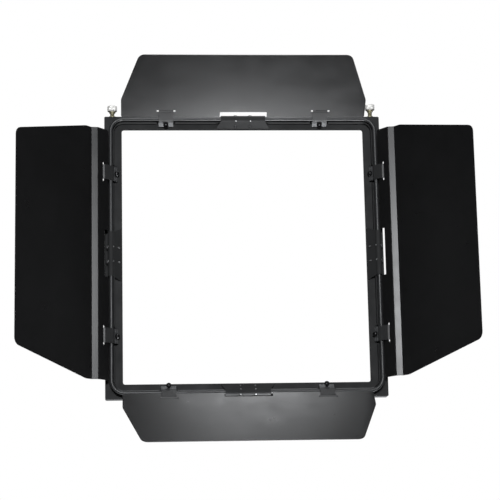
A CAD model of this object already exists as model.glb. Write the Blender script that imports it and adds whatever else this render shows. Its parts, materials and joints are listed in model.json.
"""Looks for the four-leaf barn door: finishes, fine hardware, camera and soft studio light.

The hardware is sized in millimetres in each part's own axes and scaled to metres as it is added.
"""
import json
import math
import bmesh
import bpy
from mathutils import Matrix, Vector


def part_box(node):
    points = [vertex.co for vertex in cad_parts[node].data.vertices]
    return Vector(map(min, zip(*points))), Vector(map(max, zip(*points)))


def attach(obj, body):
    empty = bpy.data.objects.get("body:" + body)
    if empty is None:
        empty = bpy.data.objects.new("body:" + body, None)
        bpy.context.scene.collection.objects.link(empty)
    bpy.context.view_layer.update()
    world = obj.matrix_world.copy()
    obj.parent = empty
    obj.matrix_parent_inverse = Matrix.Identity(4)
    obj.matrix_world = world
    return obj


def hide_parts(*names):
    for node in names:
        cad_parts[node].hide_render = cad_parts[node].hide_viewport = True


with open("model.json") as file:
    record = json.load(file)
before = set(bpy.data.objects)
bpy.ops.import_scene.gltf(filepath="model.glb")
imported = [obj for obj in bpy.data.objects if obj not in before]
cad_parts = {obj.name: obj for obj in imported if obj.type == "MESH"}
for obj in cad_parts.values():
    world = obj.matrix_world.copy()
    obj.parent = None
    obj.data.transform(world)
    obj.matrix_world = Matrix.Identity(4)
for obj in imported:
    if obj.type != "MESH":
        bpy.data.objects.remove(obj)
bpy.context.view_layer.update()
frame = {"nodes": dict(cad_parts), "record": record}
nodes = frame["nodes"]
MM = 0.001


for packed in list(bpy.data.materials):
    bpy.data.materials.remove(packed)

# ------------------------------------------------------------------ materials


def noise_node(tree, vector, scale, detail=4.0, roughness=0.55):
    node = tree.nodes.new("ShaderNodeTexNoise")
    node.inputs["Scale"].default_value = scale
    node.inputs["Detail"].default_value = detail
    node.inputs["Roughness"].default_value = roughness
    tree.links.new(vector, node.inputs["Vector"])
    return node


def range_node(tree, source, low, high, to_low, to_high):
    node = tree.nodes.new("ShaderNodeMapRange")
    node.inputs["From Min"].default_value = low
    node.inputs["From Max"].default_value = high
    node.inputs["To Min"].default_value = to_low
    node.inputs["To Max"].default_value = to_high
    tree.links.new(source, node.inputs["Value"])
    return node


def mix_colors(tree, factor, first, second):
    node = tree.nodes.new("ShaderNodeMix")
    node.data_type = "RGBA"
    tree.links.new(factor, node.inputs["Factor"])
    for socket, value in ((node.inputs[6], first), (node.inputs[7], second)):
        if isinstance(value, tuple):
            socket.default_value = (*value, 1.0)
        else:
            tree.links.new(value, socket)
    return node.outputs[2]


def stretched(tree, coordinate, scale):
    node = tree.nodes.new("ShaderNodeMapping")
    node.inputs["Scale"].default_value = scale
    tree.links.new(coordinate, node.inputs["Vector"])
    return node.outputs["Vector"]


def finish(name, color, roughness, metallic=0.0, mottle=0.16, peel=900.0, depth=0.08, worn=None,
           specular=0.5, streak=None, uneven=0.12):
    """Painted, plated or bare metal: mottled tone, uneven gloss, orange peel and faint scuffs."""
    material = bpy.data.materials.new(name)
    material.use_nodes = True
    tree = material.node_tree
    shader = tree.nodes["Principled BSDF"]
    shader.inputs["Metallic"].default_value = metallic
    shader.inputs["Specular IOR Level"].default_value = specular
    place = tree.nodes.new("ShaderNodeTexCoord").outputs["Object"]

    cloud = noise_node(tree, place, 17.0, 6.0, 0.6)
    tone = range_node(tree, cloud.outputs["Fac"], 0.32, 0.68, 0.0, 1.0)
    dark = tuple(value * (1 - mottle) for value in color)
    light = tuple(value * (1 + mottle) for value in color)
    base = mix_colors(tree, tone.outputs["Result"], dark, light)
    speck = noise_node(tree, place, 2600.0, 2.0, 0.5)
    speck_mask = range_node(tree, speck.outputs["Fac"], 0.70, 0.80, 0.0, 0.35)
    fleck = tuple(min(1.0, value * 2.6 + 0.012) for value in color)
    base = mix_colors(tree, speck_mask.outputs["Result"], base, fleck)
    if worn:
        scuff = noise_node(tree, stretched(tree, place, (38.0, 410.0, 64.0)), 1.0, 5.0, 0.7)
        scuff_mask = range_node(tree, scuff.outputs["Fac"], 0.66, 0.80, 0.0, 0.5)
        base = mix_colors(tree, scuff_mask.outputs["Result"], base, worn)
    tree.links.new(base, shader.inputs["Base Color"])

    smear = noise_node(tree, place, 46.0, 5.0, 0.65)
    gloss = range_node(tree, smear.outputs["Fac"], 0.30, 0.70,
                       roughness * (1 - uneven), roughness * (1 + uneven))
    tree.links.new(gloss.outputs["Result"], shader.inputs["Roughness"])

    grain_place = stretched(tree, place, streak) if streak else place
    grain = noise_node(tree, grain_place, 1.0 if streak else peel, 3.0, 0.5)
    bump = tree.nodes.new("ShaderNodeBump")
    bump.inputs["Strength"].default_value = depth
    bump.inputs["Distance"].default_value = 0.0002
    tree.links.new(grain.outputs["Fac"], bump.inputs["Height"])
    tree.links.new(bump.outputs["Normal"], shader.inputs["Normal"])
    return material


finishes = {
    "frame_paint": finish("frame_paint", (0.0200, 0.0205, 0.0210), 0.80, peel=1100.0,
                          worn=(0.045, 0.045, 0.046), specular=0.36),
    "wire_paint": finish("wire_paint", (0.028, 0.029, 0.030), 0.42, peel=700.0,
                         worn=(0.10, 0.10, 0.098), specular=0.42),
    "leaf_paint": finish("leaf_paint", (0.0075, 0.0075, 0.0078), 0.31, mottle=0.12, peel=1300.0, depth=0.06),
    "clip_paint": finish("clip_paint", (0.026, 0.0265, 0.027), 0.46, peel=1000.0,
                         worn=(0.07, 0.07, 0.07), specular=0.42),
    "zinc": finish("zinc", (0.34, 0.345, 0.35), 0.42, 0.8, 0.10, 1500.0, 0.10, streak=(2400.0, 500.0, 500.0)),
    "washer_zinc": finish("washer_zinc", (0.115, 0.117, 0.12), 0.50, 0.5, 0.12, 1500.0, 0.10,
                          streak=(2400.0, 500.0, 500.0)),
    "screw_zinc": finish("screw_zinc", (0.090, 0.090, 0.092), 0.46, 0.6, 0.12, 1500.0, 0.08),
    "black_oxide": finish("black_oxide", (0.014, 0.014, 0.015), 0.26, 0.3, 0.15, 1600.0, 0.05),
    "nickel": finish("nickel", (0.86, 0.85, 0.82), 0.40, 0.25, 0.06, 1500.0, 0.06,
                     streak=(900.0, 900.0, 3000.0)),
    "brass": finish("brass", (0.27, 0.25, 0.16), 0.44, 0.5, 0.12, 1500.0, 0.08,
                    streak=(900.0, 900.0, 3000.0)),
}

# ------------------------------------------------------------ shown CAD nodes

EDGE_WIDTHS = {"leaf": 0.25, "back": 0.35, "rim": 0.25, "wire": 0.25, "clip": 0.2, "thumb": 0.2}


def soften(name):
    """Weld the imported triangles, round the sheet's edges a little and shade the bends smoothly."""
    node = nodes[name]
    mesh = node.data
    if "custom_normal" in mesh.attributes:
        mesh.attributes.remove(mesh.attributes["custom_normal"])
    mesh.shade_smooth()
    weld = node.modifiers.new("weld", "WELD")
    weld.merge_threshold = 0.00001
    flat = node.modifiers.new("flat", "DECIMATE")
    flat.decimate_type = "DISSOLVE"
    flat.angle_limit = math.radians(0.6)
    bevel = node.modifiers.new("edges", "BEVEL")
    bevel.width = EDGE_WIDTHS[name.split("_")[0]] * MM
    bevel.segments = 2
    bevel.limit_method = "ANGLE"
    bevel.angle_limit = math.radians(40)
    bevel.harden_normals = False
    normal = node.modifiers.new("normals", "WEIGHTED_NORMAL")
    normal.keep_sharp = True


SLOTS = {}
for row in frame["record"]["subparts"]:
    SLOTS[row["node"]] = row["material_slot"]
for node_name, node in nodes.items():
    node.data.materials.clear()
    node.data.materials.append(finishes[SLOTS[node_name]])

# -------------------------------------------------------------- mesh building

WIRE_FORWARD = 12.0
WIRE_HALF_WIDTH = 157.85
WIRE_HALF_HEIGHT = 163.6
WIRE_RADIUS = 2.235
WIRE_BEND = 15.0
SIDES = {  # turn, reach of the wire, rest angle, clip offset
    "top": (0, WIRE_HALF_HEIGHT, 51.5, 92.0),
    "right": (1, WIRE_HALF_WIDTH, 56.3, 97.0),
    "bottom": (2, WIRE_HALF_HEIGHT, 47.0, 92.0),
    "left": (3, WIRE_HALF_WIDTH, 51.2, 97.0),
}
PAIR = (("a", -1), ("b", 1))
CORNERS = ((1, 1), (-1, 1), (-1, -1), (1, -1))
BRACKET_SCREW_OFFSET = 8.75
BRACKET_SCREW_BACK = 5.7
BRACKET_SCREW_TOP = 5.8
TENSION_DISTANCE = 6.8
TENSION_BACKED_OUT = 2.0
THUMB_OFFSET = 156.0
THUMB_BACK = 7.0
PLATE_TOP = 169.5
THUMB_BACKED_OUT = 1.8
THUMB_RIDGES = 30


def side_axes(side):
    turn, reach, _, _ = SIDES[side]
    return Matrix.Rotation(math.radians(90 * turn), 4, "Y") @ Matrix.Translation((0, -WIRE_FORWARD, reach))


def hinge_axes(side):
    return side_axes(side) @ Matrix.Rotation(math.radians(90 + SIDES[side][2]), 4, "X")


def add_piece(name, bm, slot, body, replaced=(), smooth=35, look=None):
    bmesh.ops.remove_doubles(bm, verts=bm.verts, dist=0.0005)
    bmesh.ops.recalc_face_normals(bm, faces=bm.faces)
    bmesh.ops.scale(bm, vec=(MM, MM, MM), verts=bm.verts)
    mesh = bpy.data.meshes.new(name)
    bm.to_mesh(mesh)
    bm.free()
    mesh.shade_smooth()
    mesh.set_sharp_from_angle(angle=math.radians(smooth))
    mesh.materials.append(finishes[look or slot])
    piece = bpy.data.objects.new(name, mesh)
    bpy.context.scene.collection.objects.link(piece)
    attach(piece, body)
    if replaced:
        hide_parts(*replaced)
    return piece


def skin_rings(bm, rings, closed_ends=True, cyclic=False):
    """Faces between rings of points that all have the same count."""
    made = [[bm.verts.new(point) for point in ring] for ring in rings]
    pairs = list(zip(made, made[1:]))
    if cyclic:
        pairs.append((made[-1], made[0]))
    for lower, upper in pairs:
        count = len(lower)
        for index in range(count):
            after = (index + 1) % count
            bm.faces.new((lower[index], lower[after], upper[after], upper[index]))
    if closed_ends and not cyclic:
        bm.faces.new(made[0][::-1])
        bm.faces.new(made[-1])


def turned(bm, profile, steps=32, matrix=Matrix.Identity(4)):
    """Solid turned about Z from (radius, height) rows, each perhaps with a radius function of angle."""
    rings = []
    for row in profile:
        ring = []
        for step in range(steps):
            angle = math.tau * step / steps
            radius = row[0](angle) if callable(row[0]) else row[0]
            ring.append(matrix @ Vector((radius * math.cos(angle), radius * math.sin(angle), row[1])))
        rings.append(ring)
    skin_rings(bm, rings)


def thread_rows(radius, depth, start, end, pitch, rows_per_turn=8):
    """Profile rows of a helical thread, from start to end along Z."""
    count = max(2, round(abs(end - start) / pitch * rows_per_turn))
    rows = []
    for row in range(count + 1):
        height = start + (end - start) * row / count
        fade = min(1.0, 4.0 * min(row, count - row) / count)

        def at(angle, height=height, fade=fade):
            phase = (height / pitch - angle / math.tau) % 1.0
            return radius - depth * fade * abs(2 * phase - 1)
        rows.append((at, height))
    return rows


def cut(bm, tools):
    """Exact Boolean difference of a mesh with others, all in millimetres."""
    def holder(part):
        mesh = bpy.data.meshes.new("blank")
        bmesh.ops.recalc_face_normals(part, faces=part.faces)
        part.to_mesh(mesh)
        part.free()
        item = bpy.data.objects.new("blank", mesh)
        bpy.context.scene.collection.objects.link(item)
        return item
    blank = holder(bm)
    used = [blank]
    for tool in tools:
        modifier = blank.modifiers.new("cut", "BOOLEAN")
        modifier.operation = "DIFFERENCE"
        modifier.solver = "EXACT"
        modifier.object = holder(tool)
        used.append(modifier.object)
    depsgraph = bpy.context.evaluated_depsgraph_get()
    result = bmesh.new()
    made = bpy.data.meshes.new_from_object(blank.evaluated_get(depsgraph))
    result.from_mesh(made)
    bpy.data.meshes.remove(made)
    for item in used:
        bpy.data.objects.remove(item)
    return result


def bar(bm, low, high, matrix=Matrix.Identity(4), taper=1.0):
    """Box between two corners whose top (high Z) is tapered."""
    rings = []
    for z, share in ((low[2], 1.0), (high[2], taper)):
        middle = ((low[0] + high[0]) / 2, (low[1] + high[1]) / 2)
        half = ((high[0] - low[0]) / 2 * share, (high[1] - low[1]) / 2 * share)
        rings.append([matrix @ Vector((middle[0] + sx * half[0], middle[1] + sy * half[1], z))
                      for sx, sy in CORNERS])
    skin_rings(bm, rings)


# ----------------------------------------------------------------- hinge wire

def wire_line():
    """Points along the middle of the wire, each with the direction out of the loop there."""
    line = []
    for quarter, (sx, sz) in enumerate(CORNERS):
        center = Vector((sx * (WIRE_HALF_WIDTH - WIRE_BEND), -WIRE_FORWARD,
                         sz * (WIRE_HALF_HEIGHT - WIRE_BEND)))
        for step in range(19):
            angle = math.radians(90 * quarter + 90 * step / 18)
            out = Vector((math.cos(angle), 0, math.sin(angle)))
            line.append((center + out * WIRE_BEND, out))
    full = []
    for index, (point, out) in enumerate(line):
        full.append((point, out))
        after, after_out = line[(index + 1) % len(line)]
        if (after - point).length > 20:
            for part in range(1, 12):
                full.append((point.lerp(after, part / 12), out))
    return full


def make_wire():
    bm = bmesh.new()
    rings = []
    for point, out in wire_line():
        rings.append([point + (out * math.cos(math.tau * step / 20)
                               + Vector((0, -1, 0)) * math.sin(math.tau * step / 20)) * WIRE_RADIUS
                      for step in range(20)])
    skin_rings(bm, rings, cyclic=True)
    # Butt weld of the wire, ground nearly flush
    weld = Matrix.Translation((61.0, -WIRE_FORWARD, -WIRE_HALF_HEIGHT))
    weld = weld @ Matrix.Rotation(math.pi / 2, 4, "Y")
    bead = [(2.20, -1.3), (2.28, -1.0), (lambda a: 2.36 + 0.03 * math.sin(7 * a), -0.4),
            (lambda a: 2.38 + 0.03 * math.sin(5 * a + 1), 0.2), (2.29, 0.9), (2.20, 1.2)]
    turned(bm, bead, 28, weld)
    add_piece("hinge_wire_fine", bm, "wire_paint", "frame", ["hinge_wire"], 50)


# --------------------------------------------------------------- small screws

def make_bracket_screws():
    for side in SIDES:
        for label, sign in PAIR:
            name = "bracket_screw_%s_%s" % (side, label)
            low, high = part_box(name)
            span = max(high - low) / MM
            top = BRACKET_SCREW_TOP
            tip = top - span
            bm = bmesh.new()
            head = [(1.0, top - 0.02), (1.7, top - 0.10), (2.3, top - 0.40), (2.62, top - 0.85),
                    (2.69, top - 1.3), (2.69, top - 1.75), (2.5, top - 1.88), (1.38, top - 1.88)]
            rows = thread_rows(1.38, 0.18, top - 2.1, tip + 0.7, 0.7)
            turned(bm, head + rows + [(1.1, tip + 0.35), (0.75, tip + 0.02)], 32)
            tools = []
            for turn in (0, math.pi / 2):
                tool = bmesh.new()
                slot = Matrix.Rotation(turn + 0.4 * sign, 4, "Z") @ Matrix.Diagonal((1, 1, -1, 1))
                bar(tool, (-1.5, -0.33, -top - 0.5), (1.5, 0.33, -top + 1.05), slot, 0.62)
                tools.append(tool)
            bm = cut(bm, tools)
            place = Matrix.Translation((sign * BRACKET_SCREW_OFFSET, BRACKET_SCREW_BACK, 0))
            bmesh.ops.transform(bm, matrix=side_axes(side) @ place, verts=bm.verts)
            add_piece(name + "_fine", bm, "zinc", "frame", [name], 40, "screw_zinc")


def hexagon(flat, low, high, spin=0.0):
    bm = bmesh.new()
    radius = flat / math.sqrt(3)
    turned(bm, [(radius, low), (radius, high)], 6, Matrix.Rotation(spin, 4, "Z"))
    return bm


def make_tension_screws():
    for side, (_, _, _, offset) in SIDES.items():
        for number, (label, sign) in enumerate(PAIR):
            bm = bmesh.new()
            rows = []
            for step in range(9):
                angle = math.radians(14 + 76 * step / 8)
                rows.append((3.18 * math.sin(angle), 3.0 + 3.38 * math.cos(angle)))
            rows += [(3.18, 2.72), (3.05, 2.52), (1.28, 2.52)]
            rows += thread_rows(1.28, 0.14, 2.3, -2.8, 0.6)
            rows += [(0.95, -3.08)]
            turned(bm, rows, 36)
            bm = cut(bm, [hexagon(2.3, 4.6, 7.0, 0.3 + 0.45 * number)])
            lift = TENSION_BACKED_OUT if side == "bottom" else 0.0
            place = hinge_axes(side) @ Matrix.Translation((sign * offset, -TENSION_DISTANCE, lift))
            bmesh.ops.transform(bm, matrix=place, verts=bm.verts)
            name = "tension_screw_%s_%s" % (side, label)
            add_piece(name + "_fine", bm, "black_oxide", "door_" + side, [name], 40)


def rounded_frame(bm, outer, inner, low, high, matrix):
    """Raised square rim with slightly rounded corners."""
    loops = []
    for half, z in ((outer, low), (outer * 0.95, high), (inner * 1.07, high), (inner, low)):
        ring = []
        for sx, sy, start in ((1, 1, 0), (-1, 1, 90), (-1, -1, 180), (1, -1, 270)):
            for step in range(5):
                angle = math.radians(start + 90 * step / 4)
                corner = half * 0.3
                ring.append(matrix @ Vector((sx * (half - corner) + corner * math.cos(angle),
                                             sy * (half - corner) + corner * math.sin(angle), z)))
        loops.append(ring)
    skin_rings(bm, loops + [loops[0]], closed_ends=False)


def make_washers():
    for side, (_, _, _, offset) in SIDES.items():
        for label, sign in PAIR:
            bm = bmesh.new()
            bar(bm, (-8.7, -3.28, 1.42), (8.7, 3.28, 1.92), taper=0.985)
            hole = bmesh.new()
            turned(hole, [(1.6, 0.5), (1.6, 3.0)], 28)
            bm = cut(bm, [hole])
            for edge in (-1, 1):
                middle = Matrix.Translation((edge * 6.1, 0, 0))
                rounded_frame(bm, 2.3, 1.5, 1.90, 2.18, middle)
                pad = bmesh.new()
                turned(pad, [(1.0, 1.90), (0.85, 2.06), (0.4, 2.10)], 20, middle)
                scrap = bpy.data.meshes.new("pad")
                pad.to_mesh(scrap)
                pad.free()
                bm.from_mesh(scrap)
                bpy.data.meshes.remove(scrap)
            place = hinge_axes(side) @ Matrix.Translation((sign * offset, -TENSION_DISTANCE, 0))
            bmesh.ops.transform(bm, matrix=place, verts=bm.verts)
            name = "washer_plate_%s_%s" % (side, label)
            add_piece(name + "_fine", bm, "zinc", "door_" + side, [name], 30, "washer_zinc")


def make_thumb_screws():
    def knurl(angle):
        return 5.52 + 0.26 * abs(math.cos(angle * THUMB_RIDGES / 2)) ** 0.7
    for label, sign, lift in (("left", -1, 0.0), ("right", 1, THUMB_BACKED_OUT)):
        place = Matrix.Translation((sign * THUMB_OFFSET, THUMB_BACK, PLATE_TOP + lift))
        place = place @ Matrix.Rotation(0.3 * sign, 4, "Z")
        bm = bmesh.new()
        head = [(2.2, 14.75), (2.6, 15.15), (4.7, 15.18), (5.3, 14.95), (knurl, 14.5), (knurl, 9.0),
                (5.3, 8.5), (4.7, 8.25), (3.69, 8.22), (3.69, 8.0)]
        turned(bm, head, 240, place)
        name = "thumb_screw_" + label
        add_piece(name + "_head", bm, "nickel", "clamp_" + label, [name], 40)
        bm = bmesh.new()
        neck = [(3.2, 8.15), (3.68, 7.95), (3.68, 6.45), (3.3, 6.22), (2.58, 6.22)]
        rows = thread_rows(2.58, 0.28, 6.0, -0.7, 0.9)
        turned(bm, neck + rows + [(2.1, -1.18)], 32, place)
        add_piece(name + "_stem", bm, "brass", "clamp_" + label, (), 40)


# ------------------------------------------------- rivets, welds and seams

def dome(bm, matrix, radius, height):
    """Shallow round button standing on the XY plane of matrix, with a soft foot."""
    rows = [(radius * 1.12, -0.10), (radius, 0.0)]
    for step in range(1, 6):
        angle = math.radians(90 * step / 5.4)
        rows.append((radius * math.cos(angle), height * math.sin(angle)))
    turned(bm, rows, 20, matrix)


def make_bracket_rivets():
    """Rivet ends on the outer and inner flanks of each bracket's curl."""
    for side in SIDES:
        bm = bmesh.new()
        for _, sign in PAIR:
            middle = side_axes(side) @ Matrix.Translation((sign * BRACKET_SCREW_OFFSET, 0, 0))
            for lean in (30, 150):
                turn = Matrix.Rotation(math.radians(lean), 4, "X")
                dome(bm, middle @ turn @ Matrix.Translation((0, 0, 3.6)), 0.85, 0.3)
        add_piece("bracket_rivets_" + side, bm, "zinc", "frame", (), 40)


def make_weld_marks():
    """Shallow ring marks of the spot welds on the back of each leaf, behind a strap's foot."""
    for side, (_, _, _, offset) in SIDES.items():
        level = 1.1 if side in ("top", "bottom") else -1.1
        back = level - 0.5 - 0.3 - 0.9
        profile = [(1.9, -0.05), (1.75, 0.07), (1.45, 0.10), (1.2, 0.03), (0.7, -0.02)]
        bm = bmesh.new()
        for _, sign in PAIR:
            for along in (-4.6, 4.6):
                place = hinge_axes(side) @ Matrix.Translation((sign * offset + along, 17.3, back))
                flip = Matrix.Diagonal((1, 1, -1, 1))
                turned(bm, profile, 24, place @ flip)
        add_piece("weld_marks_" + side, bm, "clip_paint", "door_" + side, (), 40)


def make_corner_seams():
    """Fillet weld inside each corner of the skirt."""
    bm = bmesh.new()
    for sx, sz in CORNERS:
        rings = []
        for row in range(34):
            y = 0.25 + 13.3 * row / 33
            ripple = 0.12 * math.sin(row * 2.4)
            ring = []
            for step in range(7):
                angle = math.radians(180 + 90 * step / 6)
                ring.append(Vector((sx * (164.3 + (1.9 + ripple) * (math.cos(angle) + 1) - 1.9),
                                    y, sz * (168.3 + (1.9 + ripple) * (math.sin(angle) + 1) - 1.9))))
            ring.append(Vector((sx * 164.5, y, sz * 168.5)))
            rings.append(ring if sx * sz > 0 else ring[::-1])
        skin_rings(bm, rings)
    add_piece("corner_welds", bm, "frame_paint", "frame", (), 60)


make_wire()
make_bracket_screws()
make_tension_screws()
make_washers()
make_thumb_screws()
make_bracket_rivets()
make_weld_marks()
make_corner_seams()
for node_name, node in nodes.items():
    if not node.hide_render:
        soften(node_name)

# --------------------------------------------------------- camera, stage, light

CAMERA_PLACE = (-0.13875, -1.950, -0.3811)
YAW, PITCH, ROLL = (math.radians(value) for value in (4.25, 11.2, -1.16))
LENS = 121.07


def make_camera():
    data = bpy.data.cameras.new("camera")
    data.lens = LENS
    data.sensor_width = 36.0
    data.clip_start = 0.05
    data.clip_end = 40.0
    camera = bpy.data.objects.new("camera", data)
    bpy.context.scene.collection.objects.link(camera)
    ahead = Vector((math.sin(YAW) * math.cos(PITCH), math.cos(YAW) * math.cos(PITCH), math.sin(PITCH)))
    right = Vector((math.cos(YAW), -math.sin(YAW), 0))
    up = right.cross(ahead)
    rolled_right = right * math.cos(ROLL) + up * math.sin(ROLL)
    rolled_up = up * math.cos(ROLL) - right * math.sin(ROLL)
    turn = Matrix((rolled_right, rolled_up, -ahead)).transposed().to_4x4()
    camera.matrix_world = Matrix.Translation(CAMERA_PLACE) @ turn
    bpy.context.scene.camera = camera


LIGHTS = {  # place, target, width, height, watts
    "below": ((0.105, 0.226, -0.80), (0.0, -0.06, 0.22), 0.16, 0.60, 15.6),
    "above": ((0.037, 0.050, 0.70), (0.0, -0.05, -0.22), 0.22, 0.49, 2.75),
    "front": ((-0.136, -2.40, 0.296), (0.0, 0.0, 0.0), 0.60, 0.06, 49.0),
}


def make_lights():
    for name, (place, target, width, height, watts) in LIGHTS.items():
        data = bpy.data.lights.new(name, "AREA")
        data.shape = "RECTANGLE"
        data.size = width
        data.size_y = height
        data.energy = watts
        data.color = (0.965, 0.98, 1.0)
        light = bpy.data.objects.new(name, data)
        light.location = place
        light.rotation_euler = (Vector(target) - Vector(place)).to_track_quat("-Z", "Y").to_euler()
        light.visible_camera = False
        bpy.context.scene.collection.objects.link(light)


def make_world():
    world = bpy.data.worlds.new("studio")
    bpy.context.scene.world = world
    world.use_nodes = True
    tree = world.node_tree
    shader = tree.nodes["Background"]
    path = tree.nodes.new("ShaderNodeLightPath")
    strength = range_node(tree, path.outputs["Is Camera Ray"], 0.0, 1.0, 0.03, 1.0)
    shader.inputs["Color"].default_value = (1.0, 1.0, 1.0, 1.0)
    tree.links.new(strength.outputs["Result"], shader.inputs["Strength"])


def make_floor():
    """Pale floor well below the part, faintly glowing and kept out of its reflections."""
    bm = bmesh.new()
    bmesh.ops.create_grid(bm, x_segments=8, y_segments=8, size=4.0)
    bmesh.ops.translate(bm, vec=(0, 0, -1.1), verts=bm.verts)
    mesh = bpy.data.meshes.new("floor")
    bm.to_mesh(mesh)
    bm.free()
    material = bpy.data.materials.new("floor_paper")
    material.use_nodes = True
    tree = material.node_tree
    shader = tree.nodes["Principled BSDF"]
    place = tree.nodes.new("ShaderNodeTexCoord").outputs["Object"]
    fibre = noise_node(tree, place, 60.0, 6.0, 0.6)
    pale = mix_colors(tree, fibre.outputs["Fac"], (0.80, 0.80, 0.80), (0.86, 0.86, 0.86))
    tree.links.new(pale, shader.inputs["Base Color"])
    tree.links.new(pale, shader.inputs["Emission Color"])
    shader.inputs["Emission Strength"].default_value = 0.9
    shader.inputs["Roughness"].default_value = 0.9
    mesh.materials.append(material)
    floor = bpy.data.objects.new("floor", mesh)
    bpy.context.scene.collection.objects.link(floor)
    floor.visible_glossy = False
    floor.visible_diffuse = False


make_camera()
make_lights()
make_world()
make_floor()
bpy.context.scene.view_settings.view_transform = "Standard"
bpy.context.scene.view_settings.look = "None"
